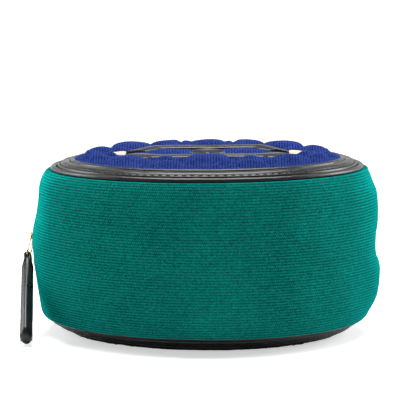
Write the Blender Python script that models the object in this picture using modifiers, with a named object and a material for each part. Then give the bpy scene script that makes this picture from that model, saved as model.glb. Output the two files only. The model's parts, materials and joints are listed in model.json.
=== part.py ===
"""Round zip-around case: two quilted discs, a barrel-shaped fabric side wall, a zip round the rear half.

Metres, +Z up. The origin is the centre of the flat face that the case rests on. The zip runs round the
rear (+Y), and the front (-Y) of the side wall is one uncut panel, which folds when the lid tilts.
"""

import math

import bmesh
import bpy
from mathutils import Matrix, Vector

# --- driving dimensions ---------------------------------------------------------------------------
CASE_RADIUS = 0.076  # outside of the side wall at its widest
MID_Z = 0.0395  # the plane where base and lid meet, and half the height of the two quilted faces
RIM_RADIUS = 0.069  # where the side wall turns in beside the outer piping
RIM_HEIGHT = 0.033  # from the meeting plane to the middle of the outer piping
BARREL_POWER = 2.2  # superellipse power of the side wall's profile
ZIP_HALF_ANGLE = math.radians(94)  # from the middle of the rear to each end of the zip
GAP = 0.0003  # between touching pieces

# --- side wall, lining and zip --------------------------------------------------------------------
WALL_THICK = 0.0016
LINING_THICK = 0.0006
LINING_DEPTH = WALL_THICK + LINING_THICK + 3 * GAP  # from the wall's outside to the lining's outside
WALL_EDGE_ANGLE = math.radians(87.2)  # superellipse angle of the edge beside the piping
LINING_EDGE_ANGLE = math.radians(72)
ZIP_SLOT = 0.0062  # from the meeting plane to the folded edge of the wall
TAPE_REACH = 0.0100  # from the meeting plane to the tape's sewn edge
TAPE_START = 0.0041
TAPE_RADIUS = CASE_RADIUS - WALL_THICK - GAP
BEAD_RADIUS = 0.0746  # outside of the bead and teeth
BEAD_THICK = 0.0020
BEAD_START, BEAD_END = 0.0026, 0.0038
TOOTH_START = 0.0005
TEETH = 50  # on each side
TEETH_FROM, TEETH_TO = math.radians(2), math.radians(178)  # counted from +X, anticlockwise from above
STOP_HALF, STOP_PROUD = 0.0009, 0.0003
STOP_SHIFT = math.radians(1.1)  # from the last tooth to the middle of a stop
TAB_SHIFT = math.radians(3.1)  # from the last tooth to the tab that fills the end of the slot
TAB_RADIUS, TAB_THICK = 0.0743, 0.0010

# --- rim and faces, as heights from the meeting plane ---------------------------------------------
OUTER_PIPE_RADIUS, OUTER_PIPE_THICK = 0.0674, 0.0016
INNER_PIPE_RADIUS, INNER_PIPE_THICK, INNER_PIPE_HEIGHT = 0.0592, 0.00115, 0.03765
BAND_INNER, BAND_OUTER = 0.0606, 0.0655
BAND_UNDER, BAND_EDGE, BAND_TOP = 0.0329, 0.0342, 0.0371
LINING_DISC_RADIUS, LINING_DISC_LOW, LINING_DISC_HIGH = 0.0672, 0.0300, 0.0307
BOARD_RADIUS, BOARD_LOW, BOARD_HIGH = 0.0643, 0.0310, 0.0326
WADDING_RADIUS, WADDING_LOW, WADDING_HIGH = 0.0602, 0.0329, 0.0352
QUILT_RADIUS, QUILT_LOW, QUILT_SIDE, QUILT_TOP = 0.0578, 0.0355, 0.0374, 0.0395
QUILT_FLAT_RADIUS = 0.045

# --- slider, link and pull ------------------------------------------------------------------------
SLIDER_ANGLE = math.radians(174)  # where the slider parks, beside the left end of the zip
SLIDER_LENGTH, SLIDER_WIDTH, PLATE_THICK = 0.0100, 0.0078, 0.0010
OUTER_PLATE_RADIUS, INNER_PLATE_RADIUS = 0.0751, 0.0712  # the inner side of each plate
BRIDGE_LENGTH, BRIDGE_THICK = 0.0016, 0.0006
BAIL_HALF, BAIL_TOP, BAIL_WIRE, BAIL_CORNER = 0.0030, 0.0788, 0.0005, 0.0004
LINK_RADIUS = 0.0772  # distance of the link's plane from the case's axis
LINK_WIRE, LINK_HALF_WIDTH, LINK_CORNER = 0.0005, 0.0029, 0.0016
LINK_ABOVE, LINK_BELOW = 0.0013, 0.0123  # from the bail's leg to the link's two end bars
LOOP_RADIUS, LOOP_HOLE, NECK_HALF = 0.0016, 0.0008, 0.0020
PULL_LENGTH, PULL_HALF, PULL_THICK, PULL_EDGE = 0.0535, 0.0046, 0.0052, 0.0016
PULL_NECK_THICK = 0.0032  # beside the link, growing to PULL_THICK at PULL_FULL
PULL_FULL = 0.016
PULL_LIFT = 0.0004  # of the pull's tip over the table
PULL_TUCK = math.radians(7.5)  # of the pull towards the wall

# --- sewn ornament on the lid, as heights from the meeting plane ----------------------------------
MOTIF_LOW, MOTIF_HIGH = 0.0398, 0.0408
MOTIF_APEX, MOTIF_CORNER = 0.044, Vector((0.025, 0.026))
MOTIF_STRIP = 0.0070
MOTIF_TIP_START = 0.0365
STUD_HALF = 0.0085

CIRCLE_STEPS = 48
STEP_ANGLE = 2 * math.pi / CIRCLE_STEPS
REAR_SWEEP = 2 * ZIP_HALF_ANGLE
FRONT_SWEEP = 2 * math.pi - REAR_SWEEP
REAR_START = math.pi / 2 - ZIP_HALF_ANGLE
SEAM_GAP = GAP / CASE_RADIUS  # angle between the front panel and the rear pieces

COLOURS = {
    "green_jersey": ((0.004, 0.150, 0.125), 0.85, 0.0),
    "blue_jersey": ((0.022, 0.045, 0.230), 0.85, 0.0),
    "black_leather": ((0.012, 0.012, 0.013), 0.32, 0.0),
    "tan_leather": ((0.72, 0.50, 0.38), 0.45, 0.0),
    "brass": ((0.80, 0.60, 0.28), 0.25, 1.0),
    "green_tape": ((0.004, 0.110, 0.092), 0.80, 0.0),
    "lining": ((0.030, 0.030, 0.034), 0.75, 0.0),
    "board": ((0.42, 0.36, 0.28), 0.90, 0.0),
    "wadding": ((0.80, 0.79, 0.76), 0.95, 0.0),
}


def clear_scene():
    for obj in list(bpy.data.objects):
        bpy.data.objects.remove(obj)


def make_materials():
    made = {}
    for name, (colour, roughness, metallic) in COLOURS.items():
        material = bpy.data.materials.new(name)
        material.use_nodes = True
        shader = material.node_tree.nodes["Principled BSDF"]
        shader.inputs["Base Color"].default_value = (*colour, 1.0)
        shader.inputs["Roughness"].default_value = roughness
        shader.inputs["Metallic"].default_value = metallic
        made[name] = material
    return made


def add_object(name, data, material, collection=None):
    obj = bpy.data.objects.new(name, data)
    (collection or CASE).objects.link(obj)
    if material:
        data.materials.append(MATERIALS[material])
    return obj


def add_cutter(name, mesh):
    obj = add_object(name, mesh, None, CUTTERS)
    obj.hide_render = True
    obj.display_type = "WIRE"
    return obj


def add_empty(name, matrix):
    empty = bpy.data.objects.new(name, None)
    CASE.objects.link(empty)
    empty.matrix_world = matrix
    return empty


def boolean(obj, other, operation):
    modifier = obj.modifiers.new(other.name, "BOOLEAN")
    modifier.operation = operation
    modifier.object = other


# --- turned pieces --------------------------------------------------------------------------------
def lathe(name, profile, material, start=0.0, sweep=2 * math.pi, closed=False):
    """Turn (radius, height) points about Z. The outer side of the profile runs from top to bottom."""
    mesh = bpy.data.meshes.new(name)
    edges = [(i, i + 1) for i in range(len(profile) - 1)]
    if closed:
        edges.append((len(profile) - 1, 0))
    mesh.from_pydata([(radius, 0.0, height) for radius, height in profile], edges, [])
    obj = add_object(name, mesh, material)
    obj.rotation_euler.z = start
    screw = obj.modifiers.new("Turn", "SCREW")
    screw.angle = sweep
    screw.steps = screw.render_steps = max(1, round(sweep / STEP_ANGLE))
    screw.use_merge_vertices = True
    screw.merge_threshold = 1e-5
    screw.use_smooth_shade = True
    return obj


def shell(name, profile, thickness, material, start, sweep):
    """A part-turn of an open profile, thickened inwards."""
    obj = lathe(name, profile, material, start, sweep)
    solidify = obj.modifiers.new("Thickness", "SOLIDIFY")
    solidify.thickness = thickness
    solidify.offset = -1
    solidify.use_even_offset = True
    return obj


def mirrored(profile, side):
    """The profile for the lid (side 1) or, turned over, for the base (side -1), always downwards."""
    points = [(radius, MID_Z + side * height) for radius, height in profile]
    return points if side > 0 else points[::-1]


def barrel_point(angle, depth=0.0):
    """A point of the side wall's superellipse, moved inwards. Angle 0 is the widest place."""
    bulge = CASE_RADIUS - RIM_RADIUS
    cos, sin = abs(math.cos(angle)), abs(math.sin(angle))
    along = math.copysign(RIM_HEIGHT * sin ** (2 / BARREL_POWER), angle)
    out = bulge * cos ** (2 / BARREL_POWER)
    normal = Vector((
        (out / bulge) ** (BARREL_POWER - 1) / bulge,
        math.copysign((abs(along) / RIM_HEIGHT) ** (BARREL_POWER - 1) / RIM_HEIGHT, along),
    )).normalized()
    return RIM_RADIUS + out - depth * normal.x, along - depth * normal.y


def barrel_angle(height):
    """The superellipse angle of the side wall at this height from the meeting plane."""
    return math.asin((height / RIM_HEIGHT) ** (BARREL_POWER / 2))


def barrel_profile(top_angle, bottom_angle, count, depth=0.0):
    angles = [top_angle + (bottom_angle - top_angle) * i / (count - 1) for i in range(count)]
    return [barrel_point(angle, depth) for angle in angles]


def add_piping(name, radius, height, thickness, sides, side):
    circle = []
    for i in range(sides):
        angle = math.pi / 2 - 2 * math.pi * (i + 0.5) / sides
        circle.append((radius + thickness * math.cos(angle), height + thickness * math.sin(angle)))
    lathe(name, mirrored(circle, side), "black_leather", closed=True)


def add_disc(name, radius, low, high, material, side):
    lathe(name, mirrored([(0, high), (radius, high), (radius, low), (0, low)], side), material)


def add_band(name, side):
    """The leather border: a ring that is flat underneath and domed on top."""
    span = BAND_OUTER - BAND_INNER
    crown = [(BAND_INNER + span * math.sin(a), BAND_EDGE + (BAND_TOP - BAND_EDGE) * math.cos(a))
             for a in (math.radians(d) for d in (0, 30, 60, 90))]
    profile = crown + [(BAND_OUTER, BAND_UNDER), (BAND_INNER, BAND_UNDER)]
    lathe(name, mirrored(profile, side), "black_leather", closed=True)


def add_quilt(name, side):
    """The quilted face: flat in the middle, falling to the inner piping."""
    slope = [
        (QUILT_FLAT_RADIUS + (QUILT_RADIUS - QUILT_FLAT_RADIUS) * math.sin(a),
         QUILT_SIDE + (QUILT_TOP - QUILT_SIDE) * math.cos(a))
        for a in (math.radians(d) for d in (0, 40, 70, 90))
    ]
    profile = [(0, QUILT_TOP)] + slope + [(QUILT_RADIUS, QUILT_LOW), (0, QUILT_LOW)]
    lathe(name, mirrored(profile, side), "blue_jersey")


def add_face(prefix, side):
    """The round face of the lid or base, from the inside out."""
    lining_heights = (LINING_DISC_LOW, LINING_DISC_HIGH)
    add_disc(prefix + "_lining_disc", LINING_DISC_RADIUS, *lining_heights, "lining", side)
    add_disc(prefix + "_board", BOARD_RADIUS, BOARD_LOW, BOARD_HIGH, "board", side)
    add_disc(prefix + "_wadding", WADDING_RADIUS, WADDING_LOW, WADDING_HIGH, "wadding", side)
    add_quilt(prefix + "_quilted_panel", side)
    add_piping(prefix + "_inner_piping", INNER_PIPE_RADIUS, INNER_PIPE_HEIGHT, INNER_PIPE_THICK, 6, side)
    add_band(prefix + "_leather_band", side)
    add_piping(prefix + "_outer_piping", OUTER_PIPE_RADIUS, RIM_HEIGHT, OUTER_PIPE_THICK, 7, side)


def add_rear_wall(prefix, side):
    """The rear strip of the side wall above or below the zip, its lining and its zip tape."""
    start, sweep = REAR_START + SEAM_GAP, REAR_SWEEP - 2 * SEAM_GAP
    wall = barrel_profile(WALL_EDGE_ANGLE, barrel_angle(ZIP_SLOT), 7)
    shell(prefix + "_rear_wall", mirrored(wall, side), WALL_THICK, "green_jersey", start, sweep)
    lining = barrel_profile(LINING_EDGE_ANGLE, barrel_angle(ZIP_SLOT), 5, LINING_DEPTH)
    shell(prefix + "_rear_lining", mirrored(lining, side), LINING_THICK, "lining", start, sweep)
    tape = [(TAPE_RADIUS, TAPE_REACH), (TAPE_RADIUS, TAPE_START)]
    shell(prefix + "_zip_tape", mirrored(tape, side), LINING_THICK, "green_tape", start, sweep)


def add_front_panel():
    """The uncut front of the side wall and its lining."""
    start, sweep = math.pi / 2 + ZIP_HALF_ANGLE, FRONT_SWEEP
    wall = barrel_profile(WALL_EDGE_ANGLE, -WALL_EDGE_ANGLE, 13)
    shell("front_gusset", mirrored(wall, 1), WALL_THICK, "green_jersey", start, sweep)
    lining = barrel_profile(LINING_EDGE_ANGLE, -LINING_EDGE_ANGLE, 9, LINING_DEPTH)
    shell("front_lining", mirrored(lining, 1), LINING_THICK, "lining", start, sweep)


# --- zip ------------------------------------------------------------------------------------------
def add_zip_teeth(prefix, side):
    """A bead along the tape's edge, with every second stretch of it drawn out into a tooth."""
    build = bmesh.new()
    inner = BEAD_RADIUS - BEAD_THICK
    low = MID_Z + side * BEAD_START
    high = MID_Z + side * BEAD_END
    corners = [(BEAD_RADIUS, low), (BEAD_RADIUS, high), (inner, high), (inner, low)]
    section = [build.verts.new((radius, 0, height)) for radius, height in corners]
    edges = [build.edges.new((section[i], section[(i + 1) % 4])) for i in range(4)]
    steps = 2 * TEETH - 1
    bmesh.ops.spin(build, geom=section + edges, angle=TEETH_TO - TEETH_FROM, steps=steps,
                   axis=(0, 0, 1), cent=(0, 0, 0))
    bmesh.ops.holes_fill(build, edges=[edge for edge in build.edges if edge.is_boundary])
    bmesh.ops.recalc_face_normals(build, faces=build.faces)
    toothed = [face for face in build.faces
               if face.normal.z * side < -0.9 and is_tooth(face.calc_center_median(), steps)]
    drawn = bmesh.ops.extrude_discrete_faces(build, faces=toothed)["faces"]
    tips = {vert for face in drawn for vert in face.verts}
    bmesh.ops.translate(build, verts=list(tips), vec=(0, 0, side * (TOOTH_START - BEAD_START)))
    bmesh.ops.rotate(build, verts=build.verts, cent=(0, 0, 0), matrix=Matrix.Rotation(TEETH_FROM, 3, "Z"))
    mesh = bpy.data.meshes.new(prefix + "_zip_teeth")
    build.to_mesh(mesh)
    build.free()
    add_object(prefix + "_zip_teeth", mesh, "brass")


def is_tooth(centre, steps):
    stretch = math.atan2(centre.y, centre.x) % (2 * math.pi) / ((TEETH_TO - TEETH_FROM) / steps)
    return int(stretch) % 2 == 0


def box_mesh(name, low, high):
    """A box between two corners."""
    build = bmesh.new()
    bmesh.ops.create_cube(build, size=1.0)
    low, high = Vector(low), Vector(high)
    bmesh.ops.scale(build, vec=high - low, verts=build.verts)
    bmesh.ops.translate(build, vec=(high + low) / 2, verts=build.verts)
    mesh = bpy.data.meshes.new(name)
    build.to_mesh(mesh)
    build.free()
    return mesh


def add_stop(name, angle, low, high):
    """A metal stop clamped on the zip, between two heights from the meeting plane."""
    inner, outer = BEAD_RADIUS - BEAD_THICK - STOP_PROUD, BEAD_RADIUS + STOP_PROUD
    mesh = box_mesh(name, (inner, -STOP_HALF, low), (outer, STOP_HALF, high))
    obj = add_object(name, mesh, "brass")
    obj.matrix_world = Matrix.Translation((0, 0, MID_Z)) @ Matrix.Rotation(angle, 4, "Z")
    bevel = obj.modifiers.new("Edges", "BEVEL")
    bevel.width = 0.0002
    bevel.segments = 1


def add_end_tab(name, start, end):
    """The folded tape ends, sewn across the slot between the last tooth and the front panel."""
    height = TAPE_START - GAP
    tab = [(TAB_RADIUS, height), (TAB_RADIUS, -height)]
    shell(name, mirrored(tab, 1), TAB_THICK, "green_tape", start, end - start)


def tube_mesh(name, points, radius, cyclic=False):
    """A round wire along a polyline, as a mesh with welded caps."""
    curve = bpy.data.curves.new(name, "CURVE")
    curve.dimensions = "3D"
    curve.bevel_depth = radius
    curve.bevel_resolution = 2
    curve.use_fill_caps = not cyclic
    spline = curve.splines.new("POLY")
    spline.points.add(len(points) - 1)
    for point, place in zip(spline.points, points):
        point.co = (*place, 1.0)
    spline.use_cyclic_u = cyclic
    return mesh_of_curve(name, curve)


def mesh_of_curve(name, curve):
    guide = bpy.data.objects.new(name + "_guide", curve)
    CUTTERS.objects.link(guide)
    graph = bpy.context.evaluated_depsgraph_get()
    mesh = bpy.data.meshes.new_from_object(guide.evaluated_get(graph))
    mesh.name = name
    bpy.data.objects.remove(guide)
    build = bmesh.new()
    build.from_mesh(mesh)
    bmesh.ops.remove_doubles(build, verts=build.verts, dist=1e-6)
    bmesh.ops.recalc_face_normals(build, faces=build.faces)
    build.to_mesh(mesh)
    build.free()
    return mesh


def flat_curve(name, outline, half_thickness):
    """A filled outline of (x, y) points, thickened both ways."""
    curve = bpy.data.curves.new(name, "CURVE")
    curve.dimensions = "2D"
    curve.fill_mode = "BOTH"
    curve.extrude = half_thickness
    spline = curve.splines.new("POLY")
    spline.points.add(len(outline) - 1)
    for point, (x, y) in zip(spline.points, outline):
        point.co = (x, y, 0, 1.0)
    spline.use_cyclic_u = True
    return curve


def rod_mesh(name, radius, length):
    """A round rod along Y."""
    build = bmesh.new()
    bmesh.ops.create_cone(build, cap_ends=True, segments=14, radius1=radius, radius2=radius, depth=length,
                          matrix=Matrix.Rotation(math.radians(90), 4, "X"))
    mesh = bpy.data.meshes.new(name)
    build.to_mesh(mesh)
    build.free()
    return mesh


def arc(centre, radius, start, end, count):
    """Points of an arc in a plane, as (u, v) pairs. Angles are in degrees."""
    angles = [math.radians(start + (end - start) * i / (count - 1)) for i in range(count)]
    return [(centre[0] + radius * math.cos(a), centre[1] + radius * math.sin(a)) for a in angles]


def add_slider():
    """Two plates joined by a bridge between the two rows of teeth, with a bail on the outer plate.

    Its own axes: X runs outwards, Y along the zip towards its left end.
    """
    place = Matrix.Translation((0, 0, MID_Z)) @ Matrix.Rotation(SLIDER_ANGLE, 4, "Z")
    frame = add_empty("slider_pivot", place)
    half_l, half_w = SLIDER_LENGTH / 2, SLIDER_WIDTH / 2
    outer_side = OUTER_PLATE_RADIUS + PLATE_THICK
    outer = box_mesh("slider_body", (OUTER_PLATE_RADIUS, -half_l, -half_w), (outer_side, half_l, half_w))
    body = add_object("slider_body", outer, "brass")
    bevel = body.modifiers.new("Edges", "BEVEL")
    bevel.width = 0.0004
    bevel.segments = 1
    inner_side = INNER_PLATE_RADIUS + PLATE_THICK
    inner_low = (INNER_PLATE_RADIUS, -half_l, -half_w)
    inner = box_mesh("slider_inner_plate", inner_low, (inner_side, half_l, half_w))
    bridge_from = (inner_side - PLATE_THICK / 2, half_l - BRIDGE_LENGTH, -BRIDGE_THICK / 2)
    bridge_to = (outer_side - PLATE_THICK / 2, half_l - GAP, BRIDGE_THICK / 2)
    bridge = box_mesh("slider_bridge", bridge_from, bridge_to)
    knee = BAIL_TOP - BAIL_WIRE - BAIL_CORNER
    foot = outer_side - PLATE_THICK / 2
    shoulder = BAIL_HALF - BAIL_CORNER
    near = [(knee + v, shoulder + u, 0) for u, v in arc((0, 0), BAIL_CORNER, 0, 90, 3)]
    far = [(x, -y, 0) for x, y, _ in reversed(near)]
    path = [(foot, BAIL_HALF, 0)] + near + far + [(foot, -BAIL_HALF, 0)]
    bail = tube_mesh("slider_bail", path, BAIL_WIRE)
    body.parent = frame
    for mesh in (inner, bridge, bail):
        piece = add_cutter(mesh.name, mesh)
        piece.parent = frame
        boolean(body, piece, "UNION")
    return frame


def add_link(slider_frame):
    """A wire loop hung on the bail's left leg. Its own axes: X outwards, Z back up the link."""
    fall = LINK_BELOW + PULL_LENGTH - PULL_HALF
    lean = math.acos((MID_Z - PULL_HALF - PULL_LIFT) / fall)
    place = Matrix.Translation((0, BAIL_HALF, 0)) @ Matrix.Rotation(lean, 4, "X")
    frame = add_empty("link_pivot", Matrix.Identity(4))
    frame.parent = slider_frame
    frame.matrix_local = place
    wide, corner = LINK_HALF_WIDTH - LINK_CORNER, LINK_CORNER
    path = []
    for y, z, start in ((wide, LINK_ABOVE - corner, 0), (-wide, LINK_ABOVE - corner, 90),
                        (-wide, corner - LINK_BELOW, 180), (wide, corner - LINK_BELOW, 270)):
        path += [(LINK_RADIUS, u, v) for u, v in arc((y, z), corner, start, start + 90, 4)]
    link = add_object("pull_link", tube_mesh("pull_link", path, LINK_WIRE, cyclic=True), "brass")
    link.parent = frame
    return frame


def pull_outline():
    """Half-width against distance from the link's bar: a narrow neck, a slow flare and a round end."""
    end = PULL_LENGTH - PULL_HALF
    side = [(NECK_HALF, -0.0014), (NECK_HALF, -0.0050), (PULL_HALF * 0.74, -0.0160), (PULL_HALF, -0.0360)]
    tip = [(y, z - end) for y, z in arc((0, 0), PULL_HALF, 0, -180, 9)]
    return side + tip + [(-y, z) for y, z in reversed(side)]


def add_pull(link_frame):
    """The padded leather pull: a loop round the link's lower bar, and a flared body."""
    place = Matrix.Translation((LINK_RADIUS, 0, -LINK_BELOW)) @ Matrix.Rotation(PULL_TUCK, 4, "Y")
    frame = add_empty("pull_pivot", Matrix.Identity(4))
    frame.parent = link_frame
    frame.matrix_local = place
    pull = add_object("pull_leather", rod_mesh("pull_leather", LOOP_RADIUS, 2 * NECK_HALF), "black_leather")
    pull.parent = frame
    curve = flat_curve("pull_body", pull_outline(), PULL_THICK / 2 - PULL_EDGE)
    curve.bevel_depth = PULL_EDGE
    curve.bevel_resolution = 1
    curve.offset = -PULL_EDGE
    body_mesh = mesh_of_curve("pull_body", curve)
    # the outline's (u, v) plane becomes the (Y, Z) plane of the pull
    body_mesh.transform(Matrix(((0, 0, 1, 0), (1, 0, 0, 0), (0, 1, 0, 0), (0, 0, 0, 1))))
    for vert in body_mesh.vertices:
        grown = min(1.0, -vert.co.z / PULL_FULL)
        vert.co.x *= (PULL_NECK_THICK + (PULL_THICK - PULL_NECK_THICK) * grown) / PULL_THICK
    body = add_cutter("pull_body", body_mesh)
    body.parent = frame
    boolean(pull, body, "UNION")
    hole = add_cutter("pull_hole", rod_mesh("pull_hole", LOOP_HOLE, 4 * NECK_HALF))
    hole.parent = frame
    boolean(pull, hole, "DIFFERENCE")


# --- ornament -------------------------------------------------------------------------------------
def add_plate(name, outline, material):
    """A flat piece of leather sewn on the lid, from an (x, y) outline."""
    plate = add_object(name, flat_curve(name, outline, (MOTIF_HIGH - MOTIF_LOW) / 2), material)
    plate.location.z = MID_Z + (MOTIF_HIGH + MOTIF_LOW) / 2


def add_motif():
    """A stretched hexagon of two leather strips, with a tan tip at each end and a padded diamond inside."""
    slope = (Vector((MOTIF_APEX, 0)) - MOTIF_CORNER).normalized()
    inner_apex = MOTIF_APEX - MOTIF_STRIP / abs(slope.y)
    inner_y = MOTIF_CORNER.y - MOTIF_STRIP
    inner_x = inner_apex - inner_y * abs(slope.x / slope.y)
    cut_y = (MOTIF_APEX - MOTIF_TIP_START) * abs(slope.y / slope.x)
    edge = MOTIF_TIP_START - GAP
    right = [(inner_x, inner_y), (inner_apex, GAP), (edge, GAP), (edge, cut_y + GAP), tuple(MOTIF_CORNER)]
    for name, side in (("motif_strip_front", -1), ("motif_strip_rear", 1)):
        outline = [(x, side * y) for x, y in right] + [(-x, side * y) for x, y in reversed(right)]
        add_plate(name, outline, "black_leather")
    for name, side in (("motif_tip_left", -1), ("motif_tip_right", 1)):
        start = side * MOTIF_TIP_START
        add_plate(name, [(start, -cut_y), (side * MOTIF_APEX, 0), (start, cut_y)], "tan_leather")
    diamond = [(STUD_HALF, 0), (0, STUD_HALF), (-STUD_HALF, 0), (0, -STUD_HALF)]
    add_plate("motif_stud", diamond, "black_leather")


def main():
    for prefix, side in (("lid", 1), ("base", -1)):
        add_face(prefix, side)
        add_rear_wall(prefix, side)
        add_zip_teeth(prefix, side)
    add_front_panel()
    add_stop("lid_top_stop", TEETH_TO + STOP_SHIFT, BRIDGE_THICK, BEAD_END)
    add_stop("base_top_stop", TEETH_TO + STOP_SHIFT, -BEAD_END, -BRIDGE_THICK)
    add_stop("zip_bottom_stop", TEETH_FROM - STOP_SHIFT, -BEAD_END, BEAD_START / 2)
    add_end_tab("zip_end_tab_left", TEETH_TO + TAB_SHIFT, REAR_START + REAR_SWEEP - SEAM_GAP)
    add_end_tab("zip_end_tab_right", REAR_START + SEAM_GAP, TEETH_FROM - TAB_SHIFT)
    slider_frame = add_slider()
    add_pull(add_link(slider_frame))
    add_motif()


clear_scene()
CASE = bpy.data.collections.new("round_zip_case")
CUTTERS = bpy.data.collections.new("joined_shapes")
bpy.context.scene.collection.children.link(CASE)
bpy.context.scene.collection.children.link(CUTTERS)
MATERIALS = make_materials()
main()
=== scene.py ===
"""The looks of a round zip-around case: two quilted faces in leather borders, and a ribbed fabric side wall.

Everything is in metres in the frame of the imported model, +Z up. The zip runs round the rear (+Y).
"""
import json
import math

import bmesh
import bpy
import numpy as np
from mathutils import Matrix, Vector


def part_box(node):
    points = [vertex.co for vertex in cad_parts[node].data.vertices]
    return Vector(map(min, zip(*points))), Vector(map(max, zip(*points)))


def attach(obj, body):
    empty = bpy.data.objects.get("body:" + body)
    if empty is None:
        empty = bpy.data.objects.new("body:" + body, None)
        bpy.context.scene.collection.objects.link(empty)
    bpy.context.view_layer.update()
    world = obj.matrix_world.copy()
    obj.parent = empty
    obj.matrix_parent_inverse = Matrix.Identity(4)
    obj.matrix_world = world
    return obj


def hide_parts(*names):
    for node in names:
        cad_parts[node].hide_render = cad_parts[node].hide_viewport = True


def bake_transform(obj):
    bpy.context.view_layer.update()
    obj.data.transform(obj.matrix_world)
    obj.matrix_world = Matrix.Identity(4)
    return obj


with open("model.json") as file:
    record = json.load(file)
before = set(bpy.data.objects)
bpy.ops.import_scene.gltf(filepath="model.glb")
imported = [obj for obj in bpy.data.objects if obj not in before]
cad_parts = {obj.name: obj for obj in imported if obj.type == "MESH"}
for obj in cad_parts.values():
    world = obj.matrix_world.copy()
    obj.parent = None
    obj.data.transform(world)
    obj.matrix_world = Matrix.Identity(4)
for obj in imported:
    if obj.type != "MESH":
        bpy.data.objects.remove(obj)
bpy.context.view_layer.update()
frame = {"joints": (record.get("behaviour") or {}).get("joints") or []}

MM = 0.001
FACES = (("lid", 1), ("base", -1))  # the two halves, and the side of the meeting plane they lie on
JOINTS = {joint["name"]: joint for joint in frame["joints"]}


def lowest(node):
    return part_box(node)[0]


def highest(node):
    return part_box(node)[1]


def mid(node):
    return (lowest(node) + highest(node)) / 2


def coordinates(mesh):
    """The points (n, 3) of a mesh."""
    points = np.empty(3 * len(mesh.vertices))
    mesh.vertices.foreach_get("co", points)
    return points.reshape(-1, 3)


# --- sizes from the frame -------------------------------------------------------------------------
MID_Z = mid("front_gusset").z
CASE_RADIUS = -lowest("front_gusset").y
RIM_RADIUS = highest("lid_outer_piping").x
RIM_HEIGHT = mid("lid_outer_piping").z - MID_Z
OUTER_PIPE = (highest("lid_outer_piping").z - lowest("lid_outer_piping").z) / 2
INNER_PIPE_RADIUS = highest("lid_inner_piping").x - 1.15 * MM
INNER_PIPE_HEIGHT = mid("lid_inner_piping").z - MID_Z
BAND_OUTER = highest("lid_leather_band").x
BAND_UNDER = lowest("lid_leather_band").z - MID_Z
BAND_TOP = highest("lid_leather_band").z - MID_Z
QUILT_RADIUS = highest("lid_quilted_panel").x
QUILT_LOW = lowest("lid_quilted_panel").z - MID_Z
QUILT_TOP = highest("lid_quilted_panel").z - MID_Z
ZIP_SLOT = lowest("lid_rear_wall").z - MID_Z
TAPE_RADIUS = highest("lid_zip_tape").y
ZIP_END = math.atan2(-lowest("lid_rear_wall").y, CASE_RADIUS)  # how far the zip runs past the sides

# --- sizes of the details -------------------------------------------------------------------------
BARREL_POWER = 2.2  # superellipse power of the side wall's profile
WALL_THICK = 1.4 * MM
RIB_PITCH = 1.2 * MM
RIB_DEPTH = 0.08 * MM
STITCH_PITCH = 0.9 * MM
SEAM_TUCK = 3.0 * MM  # how far the rear walls run on under the front panel
THREAD = 0.22 * MM
HERRINGBONE = 1.6 * MM  # width of a stripe of the zip tape's weave
DIAMOND = 18 * MM  # half-diagonal of a quilted diamond
DIAMOND_START = -20 * MM  # Y of a crossing of the seams on the case's middle line
PUFF = 5.3 * MM  # height of a diamond over its seams
SEAM_DEPTH = 2.2 * MM  # of the quilt's seams below the level of its flat stand-in
TOOTH_PITCH = 2.5 * MM
TAPE_EDGE, TAPE_WIDTH = 2.6 * MM, 10.6 * MM  # the tape runs on behind the wall
LEAN, LID_DROP, LID_SHIFT = 0.012, 0.45 * MM, 0.8 * MM  # of the soft lid, to one side
WALL_RISE = 0.8 * MM  # of the wall's upper edge, which swells round the lid's border


# --- shapes ---------------------------------------------------------------------------------------
def waves(points, size, seed, count=9):
    """Smooth irregularity between about -1 and 1 at points in space, with bumps of about this size."""
    chance = np.random.default_rng(seed)
    total = np.zeros(points.shape[:-1])
    for _ in range(count):
        direction = chance.normal(size=3)
        direction *= 2 * math.pi / (np.linalg.norm(direction) * size * chance.uniform(1.6, 3.2))
        total += np.sin(points @ direction + chance.uniform(0, 2 * math.pi))
    return total / math.sqrt(count)


def smooth(value):
    """0 below 0, 1 above 1 and an even rise between."""
    value = np.clip(value, 0.0, 1.0)
    return value * value * (3 - 2 * value)


def bell(value, middle, width, power=2):
    """1 at the middle, falling to 0 on both sides."""
    return np.exp(-((value - middle) / width) ** power)


def signed(value, power):
    """A power that keeps the sign. Below 1 it squares off a round section."""
    return np.sign(value) * np.abs(value) ** power


def circle(count):
    """Angles all round."""
    return np.linspace(0, 2 * math.pi, count, endpoint=False)


def rounded_square(count, power, other):
    """The two coordinates of points round a section that powers below 1 square off."""
    return signed(np.cos(circle(count)), power), signed(np.sin(circle(count)), other)


def places(x, y, z):
    """Points from coordinates that broadcast together."""
    return np.stack(np.broadcast_arrays(x, y, z), -1)


def turned(radius, azimuth, height):
    """Points at a radius and azimuth about the case's axis, and a height from the meeting plane."""
    return places(radius * np.cos(azimuth), radius * np.sin(azimuth), MID_Z + height)


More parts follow.
